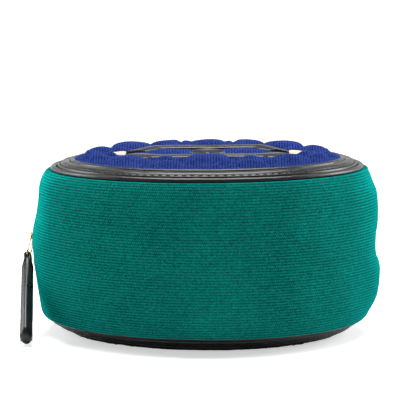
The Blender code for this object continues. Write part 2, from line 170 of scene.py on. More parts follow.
def surface(name, points, closed_along=False, closed_across=False, uv=None):
    """A smooth grid mesh. points is (columns, rows, 3), or (copies, columns, rows, 3) for many alike."""
    if points.ndim == 3:
        points = points[None]
    copies, columns, rows = points.shape[:3]
    i = np.arange(columns if closed_along else columns - 1)
    j = np.arange(rows if closed_across else rows - 1)
    i, j = (grid.ravel() for grid in np.meshgrid(i, j, indexing="ij"))
    corner_i = np.stack([i, i + 1, i + 1, i], 1)
    corner_j = np.stack([j, j, j + 1, j + 1], 1)
    face = (corner_i % columns) * rows + corner_j % rows
    faces = [face + copy * columns * rows for copy in range(copies)]
    mesh = bpy.data.meshes.new(name)
    mesh.from_pydata(points.reshape(-1, 3).tolist(), [], np.concatenate(faces).tolist())
    if uv is not None:
        along, across = uv
        corners = np.stack([along[corner_i], across[corner_j]], -1).astype(np.float32)
        mesh.uv_layers.new(name="UVMap").data.foreach_set("uv", corners.ravel())
    mesh.shade_smooth()
    return mesh


def closed(mesh):
    """Fills the open ends of a mesh and turns its faces outwards."""
    build = bmesh.new()
    build.from_mesh(mesh)
    bmesh.ops.remove_doubles(build, verts=build.verts, dist=1e-7)
    bmesh.ops.holes_fill(build, edges=[edge for edge in build.edges if edge.is_boundary])
    bmesh.ops.recalc_face_normals(build, faces=build.faces)
    build.to_mesh(mesh)
    build.free()
    mesh.shade_smooth()
    return mesh


def shell(name, outer, inner, uv=None):
    """A closed mesh from an outer and an inner layer of points. uv is along and across the layers."""
    if uv:
        along, across = uv
        uv = along, np.concatenate([across, across[::-1], across[:1]])
    return closed(surface(name, np.concatenate([outer, inner[:, ::-1]], 1), closed_across=True, uv=uv))


def joined(name, meshes):
    """One mesh of several."""
    build = bmesh.new()
    for mesh in meshes:
        build.from_mesh(mesh)
    mesh = bpy.data.meshes.new(name)
    build.to_mesh(mesh)
    build.free()
    mesh.shade_smooth()
    return mesh


def placed(mesh, matrix):
    mesh.transform(matrix)
    return mesh


def added(name, data):
    """A new object in the scene."""
    obj = bpy.data.objects.new(name, data)
    bpy.context.scene.collection.objects.link(obj)
    return obj


def tube(route, radius, sides=12, cyclic=False, side=(0.0, 0.0, 1.0)):
    """A round tube along a route of points. side is a direction that the route never follows."""
    radius = np.broadcast_to(radius, len(route))
    ahead = np.roll(route, -1, 0) - np.roll(route, 1, 0) if cyclic else np.gradient(route, axis=0)
    first = np.cross(ahead, side)
    first /= np.linalg.norm(first, axis=1, keepdims=True)
    second = np.cross(ahead, first)
    second /= np.linalg.norm(second, axis=1, keepdims=True)
    turn = circle(sides)[:, None]
    ring = first[:, None] * np.cos(turn) + second[:, None] * np.sin(turn)
    points = route[:, None] + ring * radius[:, None, None]
    return closed(surface("tube", points, closed_along=cyclic, closed_across=True))


def arc(centre, radius, start, end, count):
    """Points (count, 2) of an arc in a plane. Angles are in degrees."""
    turn = np.radians(np.linspace(start, end, count))
    return np.stack([centre[0] + radius * np.cos(turn), centre[1] + radius * np.sin(turn)], -1)


def stitches(route, normals, length, gap, thick):
    """Threads that rise out of the surface and go back into it, all along a route of points."""
    normals = np.broadcast_to(normals, route.shape)
    steps = np.linalg.norm(np.diff(route, axis=0), axis=1)
    distance = np.concatenate([[0], np.cumsum(steps)])
    count = max(1, int(distance[-1] / (length + gap)))
    share = np.linspace(0, 1, 6)
    spots = np.arange(count)[:, None] * distance[-1] / count + share * length
    centre = np.stack([np.interp(spots, distance, route[:, k]) for k in range(3)], -1)
    normal = np.stack([np.interp(spots, distance, normals[:, k]) for k in range(3)], -1)
    rise = np.sin(math.pi * share)
    centre = centre + normal * (1.5 * thick * rise - 1.2 * thick)[:, None]
    ahead = centre[:, -1:] - centre[:, :1]
    side = np.cross(ahead / np.linalg.norm(ahead, axis=-1, keepdims=True), normal)
    turn = circle(6)[:, None]
    width = thick * (0.55 + 0.45 * rise)[:, None, None]
    ring = (normal[:, :, None] * np.cos(turn) + side[:, :, None] * np.sin(turn)) * width
    return surface("thread", centre[:, :, None] + ring, closed_across=True)


# --- materials ------------------------------------------------------------------------------------
class Nodes:
    """A node tree under construction."""

    def __init__(self, tree):
        self.tree = tree

    def feed(self, socket, value):
        if isinstance(value, bpy.types.NodeSocket):
            self.tree.links.new(value, socket)
        else:
            socket.default_value = value

    def node(self, kind, output, settings=None, **inputs):
        made = self.tree.nodes.new(kind)
        for key, value in (settings or {}).items():
            setattr(made, key, value)
        for key, value in inputs.items():
            self.feed(made.inputs[key.replace("_", " ")], value)
        return made.outputs[output]

    def math(self, operation, *values):
        made = self.tree.nodes.new("ShaderNodeMath")
        made.operation = operation
        for socket, value in zip(made.inputs, values):
            self.feed(socket, value)
        return made.outputs[0]

    def times(self, value, other):
        return self.math("MULTIPLY", value, other)

    def plus(self, value, other):
        return self.math("ADD", value, other)

    def over(self, value, other):
        return self.math("DIVIDE", value, other)

    def sine(self, value, turn):
        return self.math("SINE", self.times(value, turn))

    def place(self, kind="Object"):
        return self.node("ShaderNodeTexCoord", kind)

    def split(self, kind):
        """The coordinates of a place."""
        made = self.tree.nodes.new("ShaderNodeSeparateXYZ")
        self.feed(made.inputs[0], self.place(kind))
        return made.outputs

    def uv(self):
        """The surface's own two directions, in metres."""
        return self.split("UV")[:2]

    def noise(self, size, detail=3.0, roughness=0.5, kind="Object"):
        return self.node("ShaderNodeTexNoise", "Fac", Vector=self.place(kind), Scale=1 / size,
                         Detail=detail, Roughness=roughness)

    def cells(self, size):
        return self.node("ShaderNodeTexVoronoi", "Distance", {"feature": "DISTANCE_TO_EDGE"},
                         Vector=self.place(), Scale=1 / size)

    def span(self, value, low, high, to_low=0.0, to_high=1.0, kind="LINEAR"):
        made = self.tree.nodes.new("ShaderNodeMapRange")
        made.interpolation_type = kind
        for socket, number in zip(made.inputs[:5], (value, low, high, to_low, to_high)):
            self.feed(socket, number)
        return made.outputs[0]

    def colours(self, share, low, high):
        """Low and high colours mixed by a share."""
        made = self.tree.nodes.new("ShaderNodeMix")
        made.data_type = "RGBA"
        for socket, value in (("Factor", share), ("A", (*low, 1.0)), ("B", (*high, 1.0))):
            self.feed(made.inputs[socket], value)
        return made.outputs["Result"]

    def bump(self, height, distance, strength=1.0, under=None):
        made = self.tree.nodes.new("ShaderNodeBump")
        made.inputs["Distance"].default_value = distance
        made.inputs["Strength"].default_value = strength
        self.feed(made.inputs["Height"], height)
        if under:
            self.feed(made.inputs["Normal"], under)
        return made.outputs[0]


class Finish(Nodes):
    """A node material under construction."""

    def __init__(self, name, roughness, metallic=0.0, **constants):
        self.material = bpy.data.materials.new(name)
        self.material.use_nodes = True
        super().__init__(self.material.node_tree)
        self.shader = self.tree.nodes["Principled BSDF"]
        self.shader.inputs["Roughness"].default_value = roughness
        self.shader.inputs["Metallic"].default_value = metallic
        for socket, value in constants.items():
            self.shader.inputs[socket.replace("_", " ")].default_value = value

    def done(self, colour, normal, roughness=None):
        self.feed(self.shader.inputs["Base Color"], colour)
        self.feed(self.shader.inputs["Normal"], normal)
        if roughness:
            self.feed(self.shader.inputs["Roughness"], roughness)
        return self.material


def ribbed_knit(name, dark, light, glow, sheen):
    """Ribbed jersey: rows of small slanted stitches on ridges, which run along U."""
    finish = Finish(name, 0.8, Sheen_Weight=sheen, Sheen_Roughness=0.22, Sheen_Tint=(*glow, 1.0),
                    Specular_IOR_Level=0.0)
    along, across = finish.uv()
    row = finish.over(across, RIB_PITCH)
    ridge = finish.math("ABSOLUTE", finish.sine(row, math.pi))
    step = finish.plus(finish.over(along, STITCH_PITCH), finish.times(row, 0.75))
    step = finish.plus(step, finish.times(finish.noise(6 * MM), 0.25))
    loop = finish.math("ABSOLUTE", finish.sine(step, math.pi))
    yarn = finish.noise(0.8 * MM, 3.0, 0.7)
    height = finish.plus(finish.times(loop, 0.75), finish.times(yarn, 0.45))
    height = finish.times(height, finish.plus(ridge, 0.25))
    # The colour is lighter on the raised loops and rib ridges and darker in the grooves between them:
    # painted shade. The yarn noise and the broad noise add random tone.
    painted_shade_and_tone = finish.plus(finish.times(height, 0.6), finish.span(yarn, 0.35, 0.65, -0.28, 0.28))
    painted_shade_and_tone = finish.plus(painted_shade_and_tone, finish.span(finish.noise(22 * MM, 2.0), 0.3, 0.7, -0.06, 0.10))
    painted_shade_and_tone = finish.plus(painted_shade_and_tone, finish.times(finish.plus(ridge, -0.5), 0.12))
    rough = finish.span(yarn, 0.3, 0.7, 0.72, 0.9)
    return finish.done(finish.colours(painted_shade_and_tone, dark, light), finish.bump(height, 0.14 * MM, 0.8), rough)


def leather(name, dark, light, roughness=0.3, grain=0.55 * MM, coat=0.12):
    """Smooth calf leather with a fine pebble grain, faint creases and scuffs."""
    finish = Finish(name, roughness, Coat_Weight=coat, Coat_Roughness=0.22, Specular_IOR_Level=0.35)
    pebble = finish.span(finish.cells(grain), 0.0, 0.12)
    crease = finish.span(finish.noise(3.2 * MM, 4.0, 0.6), 0.44, 0.5)
    scuff = finish.noise(7 * MM, 5.0, 0.65)
    normal = finish.bump(crease, 0.05 * MM, 0.22)
    normal = finish.bump(pebble, 0.03 * MM, 0.25, normal)
    colour = finish.colours(finish.span(scuff, 0.42, 0.72), dark, light)
    rough = finish.span(scuff, 0.35, 0.7, roughness - 0.05, roughness + 0.14)
    return finish.done(colour, normal, rough)


def metal(name, dark, light, roughness=0.2):
    """Polished brass with fine scratches and duller patches."""
    finish = Finish(name, roughness, metallic=1.0)
    dull = finish.noise(1.6 * MM, 4.0)
    scratch = finish.noise(0.25 * MM, 6.0, 0.7)
    colour = finish.colours(finish.span(dull, 0.35, 0.65), dark, light)
    rough = finish.span(dull, 0.3, 0.7, roughness - 0.06, roughness + 0.14)
    return finish.done(colour, finish.bump(scratch, 0.02 * MM, 0.3), rough)


def weave(name, dark, light, pitch, sheen=0.2, twill=True):
    """Woven cloth: a herringbone tape, or a plain lining, on the surface's own directions."""
    finish = Finish(name, 0.75, Sheen_Weight=sheen, Sheen_Roughness=0.5)
    along, across = finish.uv()
    warp = finish.over(along, pitch)
    if twill:
        zigzag = finish.math("PINGPONG", finish.over(across, HERRINGBONE), 1.0)
        weft = finish.times(zigzag, HERRINGBONE / pitch)
        ridge = finish.sine(finish.plus(warp, weft), 2 * math.pi)
    else:
        weft = finish.over(across, pitch)
        ridge = finish.times(finish.sine(warp, 2 * math.pi), finish.sine(weft, 2 * math.pi))
    height = finish.plus(finish.times(ridge, 0.5), finish.noise(0.4 * MM))
    # The colour is lighter where the threads rise and darker between them: painted shade, with random tone
    # from the noise.
    colour = finish.colours(finish.span(height, -0.2, 1.2), dark, light)
    return finish.done(colour, finish.bump(height, 0.08 * MM, 0.7), finish.span(height, 0, 1, 0.85, 0.65))


def fibrous(name, dark, light, size, depth):
    """Wadding or pressed board: short tangled fibres."""
    finish = Finish(name, 0.95)
    fibre = finish.noise(size, 6.0, 0.7)
    colour = finish.colours(finish.span(fibre, 0.3, 0.7), dark, light)
    return finish.done(colour, finish.bump(fibre, depth, 0.8))


def floor_paper():
    """White paper that looks plain white, but lights the object only by reflection."""
    finish = Finish("floor_paper", 0.9, Emission_Color=(1, 1, 1, 1))
    seen = finish.times(finish.node("ShaderNodeLightPath", "Is Camera Ray"), 0.55)
    finish.feed(finish.shader.inputs["Emission Strength"], seen)
    tone = finish.noise(0.4, 3.0)
    colour = finish.colours(finish.span(tone, 0.3, 0.7), (0.84, 0.84, 0.84), (0.87, 0.87, 0.87))
    return finish.done(colour, finish.bump(finish.noise(1.5 * MM), 0.02 * MM, 0.2))


FINISHES = {
    "green_jersey": ribbed_knit("green_ribbed_jersey", (0.002, 0.050, 0.043), (0.005, 0.256, 0.217),
                                (0.0, 1.0, 0.94), 0.8),
    "blue_jersey": ribbed_knit("blue_ribbed_jersey", (0.005, 0.010, 0.055), (0.034, 0.062, 0.262),
                               (0.25, 0.4, 1.0), 0.10),
    "black_leather": leather("black_calf_leather", (0.006, 0.006, 0.007), (0.014, 0.014, 0.015)),
    "tan_leather": leather("tan_calf_leather", (0.60, 0.42, 0.32), (0.74, 0.56, 0.45), 0.42, coat=0.1),
    "brass": metal("pale_brass", (0.42, 0.31, 0.15), (0.70, 0.56, 0.32)),
    "green_tape": weave("green_zip_tape", (0.001, 0.050, 0.040), (0.006, 0.150, 0.125), 0.5 * MM),
    "lining": weave("black_lining", (0.010, 0.010, 0.012), (0.045, 0.045, 0.050), 0.35 * MM, twill=False),
    "board": fibrous("grey_board", (0.30, 0.25, 0.19), (0.48, 0.42, 0.33), 0.8 * MM, 0.08 * MM),
    "wadding": fibrous("white_wadding", (0.70, 0.69, 0.66), (0.88, 0.87, 0.84), 1.5 * MM, 0.4 * MM),
}
THREADS = {slot: leather(name, dark, light, rough, 0.2 * MM, 0.0) for slot, name, dark, light, rough in (
    ("green_jersey", "green_thread", (0.002, 0.090, 0.075), (0.008, 0.170, 0.140), 0.6),
    ("blue_jersey", "blue_thread", (0.040, 0.065, 0.270), (0.110, 0.150, 0.450), 0.6),
    ("black_leather", "black_thread", (0.010, 0.010, 0.011), (0.022, 0.022, 0.024), 0.5),
    ("tan_leather", "tan_thread", (0.60, 0.44, 0.34), (0.80, 0.64, 0.52), 0.6))}
UPWARDS = np.array([0.0, 0.0, 1.0])


def slump(mesh):
    """The soft upper half leans: the lid sits a little to the right, and lower on its left."""
    points = coordinates(mesh)
    x, y, z = points.T
    share = smooth((z - MID_Z) / RIM_HEIGHT)
    swell = smooth((np.hypot(x, y) - 65 * MM) / (1.5 * MM))
    z += share * (LEAN * x - LID_DROP + WALL_RISE * swell)
    x += share * LID_SHIFT
    mesh.vertices.foreach_set("co", points.ravel())
    mesh.update()


def piece(name, mesh, slot, body, stands_for=(), finish=None):
    """A finished piece that rides on a body. Without a body it stays where it is made."""
    if body in (None, "lid"):
        slump(mesh)
    obj = added(name, mesh)
    mesh.materials.clear()
    mesh.materials.append(finish or FINISHES[slot])
    if body:
        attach(obj, body)
    if stands_for:
        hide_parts(*stands_for)
    return obj


def sew(name, seams, slot, body, length, gap, thick=THREAD, place=Matrix()):
    """A piece of thread along seams, each a route of points and its normals."""
    mesh = joined(name, [stitches(route, normals, length, gap, thick) for route, normals in seams])
    piece(name, placed(mesh, place), slot, body, finish=THREADS[slot])


# --- side wall ------------------------------------------------------------------------------------
def barrel(angle):
    """Radius, height from the meeting plane and outward normal at superellipse angles."""
    bulge = CASE_RADIUS - RIM_RADIUS
    cos, sin = np.abs(np.cos(angle)), np.abs(np.sin(angle))
    height = np.sign(angle) * RIM_HEIGHT * sin ** (2 / BARREL_POWER)
    out = bulge * cos ** (2 / BARREL_POWER)
    normal = np.stack([(out / bulge) ** (BARREL_POWER - 1) / bulge,
                       signed(height / RIM_HEIGHT, BARREL_POWER - 1) / RIM_HEIGHT], -1)
    normal /= np.linalg.norm(normal, axis=-1, keepdims=True)
    return RIM_RADIUS + out, height, normal


WALL_ANGLES = np.linspace(-math.radians(89), math.radians(89), 4001)
WALL_RADII, WALL_HEIGHTS, WALL_NORMALS = barrel(WALL_ANGLES)
WALL_STEPS = np.hypot(np.diff(WALL_RADII), np.diff(WALL_HEIGHTS))
WALL_LENGTHS = np.concatenate([[0], np.cumsum(WALL_STEPS)])
WALL_LENGTHS -= np.interp(0, WALL_HEIGHTS, WALL_LENGTHS)
WALL_HALF = WALL_LENGTHS[-1] - 0.2 * MM


def wall_place(length):
    """Radius, height and normal at a distance up the wall's profile from the meeting plane."""
    radius = np.interp(length, WALL_LENGTHS, WALL_RADII)
    height = np.interp(length, WALL_LENGTHS, WALL_HEIGHTS)
    normal = np.stack([np.interp(length, WALL_LENGTHS, WALL_NORMALS[:, k]) for k in range(2)], -1)
    return radius, height, normal


def length_at(height):
    return float(np.interp(height, WALL_HEIGHTS, WALL_LENGTHS))


def wall_points(azimuth, length, depth):
    """Points of the wall, sunk by depth below its smooth outer surface. The arrays broadcast."""
    radius, height, normal = wall_place(length)
    under_piping = 1.7 * MM * smooth((np.abs(length) - WALL_HALF) / (1.2 * MM) + 1)
    radius = radius - under_piping - depth * normal[..., 0]
    return turned(radius, azimuth, height - depth * normal[..., 1])


LEFT_SIDE, RIGHT_SIDE = math.pi + ZIP_END, 2 * math.pi - ZIP_END
DIPS = (  # azimuth, height, half-width, half-height and depth of the wall's larger dents and bulges
    (LEFT_SIDE, 3 * MM, 20 * MM, 8 * MM, -0.5 * MM),
    (LEFT_SIDE, -20 * MM, 30 * MM, 9 * MM, 0.7 * MM),
    (RIGHT_SIDE, 0.0, 7 * MM, 6.5 * MM, 1.0 * MM),
    (LEFT_SIDE, 31 * MM, 34 * MM, 8 * MM, -0.5 * MM),
    (LEFT_SIDE, 15 * MM, 34 * MM, 8 * MM, 0.5 * MM),
    (RIGHT_SIDE, 31 * MM, 34 * MM, 7 * MM, 1.3 * MM),
    (RIGHT_SIDE, 21 * MM, 30 * MM, 12 * MM, -0.4 * MM),
    (RIGHT_SIDE, -16 * MM, 19 * MM, 11 * MM, -1.9 * MM),
    (math.radians(20), -11 * MM, 14 * MM, 8 * MM, 0.5 * MM),
)


def softness(azimuth, length):
    """How far the padded wall dips at a place: slow unevenness, and the larger dents and bulges."""
    rest = wall_points(azimuth, length, 0.0)
    dip = 0.32 * MM * waves(rest, 30 * MM, 3) + 0.10 * MM * waves(rest, 9 * MM, 8)
    _, height, _ = wall_place(length)
    near_rim = smooth((RIM_HEIGHT - np.abs(height)) / (2.2 * MM))
    for side, level, half_width, half_height, depth in DIPS:
        away = np.abs(np.angle(np.exp(1j * (azimuth - side)))) * CASE_RADIUS
        dip = dip + depth * bell(away, 0, half_width) * bell(height, level, half_height, 4)
    return dip * near_rim


def ribs(length):
    """How far the surface sinks between the knitted ribs."""
    return RIB_DEPTH * (1 - np.abs(np.sin(math.pi * length / RIB_PITCH)) ** 0.7)


def rib_rows(low, high):
    """Distances up the profile, five to a rib, with every groove on one of them."""
    step = RIB_PITCH / 5
    inner = np.arange(math.ceil(low / step + 0.3), math.floor(high / step - 0.3) + 1) * step
    return np.concatenate([[low], inner, [high]])


def rim_tuck(length):
    """The wall's edge, turned in under the outer piping: extra depth near the rims."""
    return 1.3 * MM * smooth((np.abs(length) - WALL_HALF + 1.6 * MM) / (1.6 * MM)) ** 2


def wall_mesh(name, azimuth, rows, depth, extra=0.0):
    """A closed shell of fabric: ribbed outside, turned edges, and a coarse inside, extra deep."""
    coarse = np.linspace(rows[-1], rows[0], 12)
    a, s = azimuth[:, None], coarse[None]
    inside = wall_points(a, s, softness(a, s) + rim_tuck(s) + WALL_THICK + extra)
    points = np.concatenate([wall_points(a, rows[None], depth), inside], 1)
    across = np.concatenate([rows, coarse, rows[:1]])
    return closed(surface(name, points, closed_across=True, uv=(azimuth * CASE_RADIUS, across)))


def make_front_gusset():
    """The uncut front of the side wall."""
    name = "front_gusset_fabric"
    azimuth = np.linspace(LEFT_SIDE, RIGHT_SIDE, 300)
    rows = rib_rows(-WALL_HALF, WALL_HALF)
    a, s = azimuth[:, None], rows[None]
    from_seam = np.minimum(a - LEFT_SIDE, RIGHT_SIDE - a) * CASE_RADIUS
    depth = softness(a, s) + ribs(s) + rim_tuck(s) + seam_dip(from_seam)
    gusset = piece(name, wall_mesh(name, azimuth, rows, depth), "green_jersey", None, ["front_gusset"])
    fold_with_lid(gusset)


def fold_with_lid(obj):
    """Bakes the piece's placement into its mesh."""
    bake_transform(obj)


def seam_dip(from_seam):
    """How far the wall is drawn in beside the seams between its front and rear."""
    return 0.7 * MM * (1 - smooth(from_seam / (2.2 * MM)))


def make_rear_wall(prefix, side):
    """The rear strip of the side wall above or below the zip, folded and sewn along the zip."""
    name = prefix + "_rear_fabric"
    tuck = SEAM_TUCK / CASE_RADIUS
    azimuth = np.linspace(-ZIP_END - tuck, math.pi + ZIP_END + tuck, 330)
    slot, fold = length_at(ZIP_SLOT), 0.9 * MM
    sew_at = slot + 2.2 * MM
    rows = rib_rows(slot, WALL_HALF)
    a, s = azimuth[:, None], rows[None]
    past_seam = np.maximum(-ZIP_END - a, a - math.pi - ZIP_END) * CASE_RADIUS
    under_front = 1.2 * MM * smooth(past_seam / (0.6 * MM) + 0.5)
    from_fold = np.clip((s - slot) / fold, 0, 1)
    turned_in = fold * (1 - np.sqrt(from_fold * (2 - from_fold)))
    sewn = 0.30 * MM * bell(s, sew_at, 0.5 * MM)
    depth = softness(a, side * s) + ribs(s) + rim_tuck(s) + seam_dip(-past_seam)
    depth = depth + under_front + turned_in + sewn
    mesh = wall_mesh(name, azimuth, side * rows, depth, under_front)
    wall = piece(name, mesh, "green_jersey", prefix, [prefix + "_rear_wall"])
    line = azimuth[(azimuth > -ZIP_END + 0.02) & (azimuth < math.pi + ZIP_END - 0.02)]
    sink = softness(line, side * sew_at) + 0.36 * MM
    route = wall_points(line, side * sew_at, sink)
    normals = wall_points(line, side * sew_at, sink - 1.0) - route
    sew(prefix + "_rear_stitches", [(route, normals)], "green_jersey", prefix, 2.3 * MM, 0.7 * MM)


def make_lining(name, azimuth, low, high, body, node):
    """The cloth that lines the wall, with slight puckers."""
    rows = np.linspace(low, high, 28)
    a, s = azimuth[:, None], rows[None]
    depth = 2.7 * MM + 0.15 * MM * waves(wall_points(a, s, 2.6 * MM), 12 * MM, 21) + rim_tuck(s)
    outer, inner = wall_points(a, s, depth), wall_points(a, s, depth + 0.5 * MM)
    mesh = shell(name, outer, inner, (azimuth * CASE_RADIUS, rows))
    cloth = piece(name, mesh, "lining", body, [node])
    return cloth


def make_linings():
    reach = WALL_HALF - 2.5 * MM
    front = np.linspace(LEFT_SIDE, RIGHT_SIDE, 90)
    fold_with_lid(make_lining("front_lining_cloth", front, -reach, reach, None, "front_lining"))
    rear = np.linspace(-ZIP_END, math.pi + ZIP_END, 96)
    slot = length_at(ZIP_SLOT)
    for prefix, side in FACES:
        node = prefix + "_rear_lining"
        make_lining(node + "_cloth", rear, side * slot, side * reach, prefix, node)


# --- leather rims ---------------------------------------------------------------------------------
AROUND = circle(360)


def ring(name, radius, height, side):
    """A closed ring from a section, whose radius and height change along the ring."""
    points = turned(radius, AROUND[:, None], side * height)
    uv = np.linspace(0, 2 * math.pi, 361) * RIM_RADIUS, np.linspace(0, 0.02, points.shape[1] + 1)
    return closed(surface(name, points, closed_along=True, closed_across=True, uv=uv))


def make_piping(node, prefix, side, radius, height, thick, seed):
    """Leather wrapped round a cord: a little uneven, with fine wrinkles across it."""
    name, section = node + "_leather", circle(20)[None]
    centre = turned(radius, AROUND, side * height)
    shift = 0.16 * MM * waves(centre, 22 * MM, seed)[:, None]
    wrinkle = 0.035 * MM * waves(centre, 2.2 * MM, seed + 1)[:, None]
    swell = thick + wrinkle + 0.06 * MM * waves(centre, 9 * MM, seed + 2)[:, None]
    heights = height + 0.5 * shift + swell * np.sin(section)
    mesh = ring(name, radius + shift + swell * np.cos(section), heights, side)
    piece(name, mesh, "black_leather", prefix, [node])


def band_crown(share, azimuth, side):
    """Height of the padded border's surface, from its inner edge (0) to its outer edge (1)."""
    middle = turned(63 * MM, azimuth, 0.0)
    fall = np.sqrt(np.clip(1 - (0.97 * share) ** 2, 0, 1))
    soft = 0.13 * MM * waves(middle, 14 * MM, 31 + side) + 0.05 * MM * waves(middle, 4 * MM, 33)
    bulge = np.sin(math.pi * np.clip(share, 0, 1)) * (soft[:, None] + 0.25 * MM)
    sewn = 0.42 * MM * bell(share, STITCH_SHARE, 0.10)
    lip = 0.5 * MM * (1 - smooth(share / 0.12))
    return BAND_TOP - 2.9 * MM * (1 - fall) + bulge - sewn - lip


STITCH_SHARE = 0.80  # of the border's width, where it is sewn down
BAND_INNER = 60.4 * MM


def make_band(prefix, side):
    """The padded leather border between the two pipings, sewn near its outer edge."""
    name = prefix + "_border_leather"
    width = BAND_OUTER + 0.5 * MM - BAND_INNER
    share = np.append(np.linspace(1, 0, 26), (0, 1))[None]
    height = band_crown(share, AROUND, side)
    height[:, -2:] = BAND_UNDER
    mesh = ring(name, BAND_INNER + width * share, height, side)
    band = piece(name, mesh, "black_leather", prefix, [prefix + "_leather_band"])
    line = np.linspace(0, 2 * math.pi, 721)
    crown = band_crown(np.array([[STITCH_SHARE]]), line, side)[:, 0]
    route = turned(BAND_INNER + width * STITCH_SHARE, line, side * (crown + 0.10 * MM))
    slope = math.radians(52)
    normals = turned(math.cos(slope), line, side * math.sin(slope)) - MID_Z * UPWARDS
    sew(prefix + "_border_stitches", [(route, normals)], "black_leather", prefix,
        2.4 * MM, 1.0 * MM, 0.26 * MM)


def make_rims():
    for prefix, side, seed, sunk in (("lid", 1, 40, 0.8 * MM), ("base", -1, 50, 0.0)):
        make_piping(prefix + "_outer_piping", prefix, side, RIM_RADIUS - OUTER_PIPE, RIM_HEIGHT,
                    1.3 * MM, seed)
        make_piping(prefix + "_inner_piping", prefix, side, INNER_PIPE_RADIUS, INNER_PIPE_HEIGHT - sunk,
                    1.15 * MM, seed + 4)
        make_band(prefix, side)


# --- quilted faces --------------------------------------------------------------------------------
MOTIF_APEX = highest("motif_tip_right").x
MOTIF_CORNER = Vector((highest("motif_strip_rear").x, highest("motif_strip_rear").y))
STRIP_WIDTH = 7.0 * MM
MOTIF_TIP_START = lowest("motif_tip_right").x
STUD_HALF = highest("motif_stud").x
STRIP_LEVEL, TIP_LEVEL = 2.4 * MM, 1.3 * MM  # of the sewn-on ornament over the quilt's seams
GRID = 16  # simulated threads to a diamond's side
CLOTH_STEPS = 24


def valley(radius):
    """Height of the quilt's seams: level in the middle, falling to the border."""
    fall = np.clip((radius - 48 * MM) / (QUILT_RADIUS - 48 * MM), 0, 1)
    return QUILT_TOP - SEAM_DEPTH - 1.0 * MM * (1 - np.sqrt(1 - 0.98 * fall ** 2))


def inside_hexagon(x, y):
    """Distance inside the ornament's outer edge, negative outside it."""
    x, y = np.abs(x), np.abs(y)
    slope = Vector((MOTIF_APEX - 25 * MM, -MOTIF_CORNER.y)).normalized()
    slanted = (MOTIF_APEX - x) * -slope.y - y * slope.x
    return np.minimum(slanted, MOTIF_CORNER.y - y)


def under_strip(x, y):
    """1 where a strip or the stud holds the quilt down, falling to 0 beside it."""
    inside = inside_hexagon(x, y)
    strip = np.abs(inside - STRIP_WIDTH / 2) - STRIP_WIDTH / 2
    stud = (np.abs(x) + np.abs(y) - STUD_HALF) / math.sqrt(2)
    return 1 - smooth(np.minimum(strip, stud) / (4.0 * MM) + 0.1)


def bed_level(x):
    """Height of the ornament's bed over the quilt's seams: it sinks towards the tips."""
    return STRIP_LEVEL + (TIP_LEVEL - STRIP_LEVEL) * smooth((np.abs(x) - 24 * MM) / (13 * MM))


def diamonds(x, y):
    """The two numbers that are whole on the diamonds' sides."""
    along, across = x / DIAMOND, (y - DIAMOND_START) / DIAMOND
    return (along + across) / 2, (along - across) / 2


def from_diamonds(p, q):
    """The place (x, y) of two such numbers."""
    return DIAMOND * (p + q), DIAMOND_START + DIAMOND * (p - q)


def puffs_by_cloth(half):
    """Inflates a sheet that is sewn down along the diamonds' sides, ten times life size."""
    count = 2 * half + 1
    index = np.arange(-half, half + 1)
    x, y = from_diamonds(*np.meshgrid(index / GRID, index / GRID, indexing="ij"))
    seam = (index[:, None] % GRID == 0) | (index[None] % GRID == 0)
    pinned = seam | (np.hypot(x, y) > QUILT_RADIUS - 0.5 * MM)
    points = np.stack([x, y, 0.25 * MM * ~pinned], -1)
    mesh = surface("quilt_cloth", 10 * points)
    mesh.flip_normals()
    cloth = added("quilt_cloth", mesh)
    group = cloth.vertex_groups.new(name="sewn")
    group.add([int(i) for i in np.flatnonzero(pinned.ravel())], 1.0, "REPLACE")
    modifier = cloth.modifiers.new("Inflate", "CLOTH")
    settings = dict(vertex_group_mass="sewn", quality=6, mass=0.2, tension_stiffness=12,
                    compression_stiffness=12, shear_stiffness=6, bending_stiffness=0.4,
                    use_pressure=True, uniform_pressure_force=5.0, shrink_min=-0.05)
    for key, value in settings.items():
        setattr(modifier.settings, key, value)
    modifier.settings.effector_weights.gravity = 0.0
    modifier.point_cache.frame_end = CLOTH_STEPS
    for step in range(CLOTH_STEPS):
        bpy.context.scene.frame_set(step + 1)
    graph = bpy.context.evaluated_depsgraph_get()
    settled = coordinates(cloth.evaluated_get(graph).data).reshape(count, count, 3)[..., 2] / 10
    bpy.context.scene.frame_set(1)
    bpy.data.objects.remove(cloth)
    fullness = np.clip(settled / np.percentile(settled, 99.5), 0, 1.05)
    return PUFF * fullness ** 0.65


def bilinear(values, u, v):
    """Values of a square grid at fractional places."""
    i, j = np.floor(u).astype(int), np.floor(v).astype(int)
    du, dv = u - i, v - j
    low = values[i, j] * (1 - dv) + values[i, j + 1] * dv
    high = values[i + 1, j] * (1 - dv) + values[i + 1, j + 1] * dv
    return low * (1 - du) + high * du


def make_puffs():
    """Functions of (x, y) that give a quilt's height over its seams: with the ornament, and without."""
    reach = (QUILT_RADIUS + 1 * MM) * np.exp(1j * np.linspace(0, 2 * math.pi, 90))
    half = math.ceil(np.abs(diamonds(reach.real, reach.imag)).max() * GRID) + 2
    settled = puffs_by_cloth(half)

    def free(x, y):
        p, q = diamonds(x, y)
        return bilinear(settled, p * GRID + half, q * GRID + half)

    def pressed(x, y):
        from_border = QUILT_RADIUS - np.hypot(x, y)
        border = 1.3 * MM * (1 - smooth(from_border / (3.5 * MM)))
        low_front = smooth(from_border / (4 * MM + 3 * MM * smooth(-y / (40 * MM)))) ** 0.5
        held = 1 - 0.45 * smooth(inside_hexagon(x, y) / (6 * MM))
        press = under_strip(x, y)
        return np.maximum(free(x, y) * held * low_front, border) * (1 - press) + bed_level(x) * press

    return pressed, free


PRESSED_PUFFS, PLAIN_PUFFS = make_puffs()


def softened(values):
    """Rounds off a grid of heights."""
    for axis in (0, 1):
        values = (np.roll(values, 1, axis) + 2 * values + np.roll(values, -1, axis)) / 4
    return values


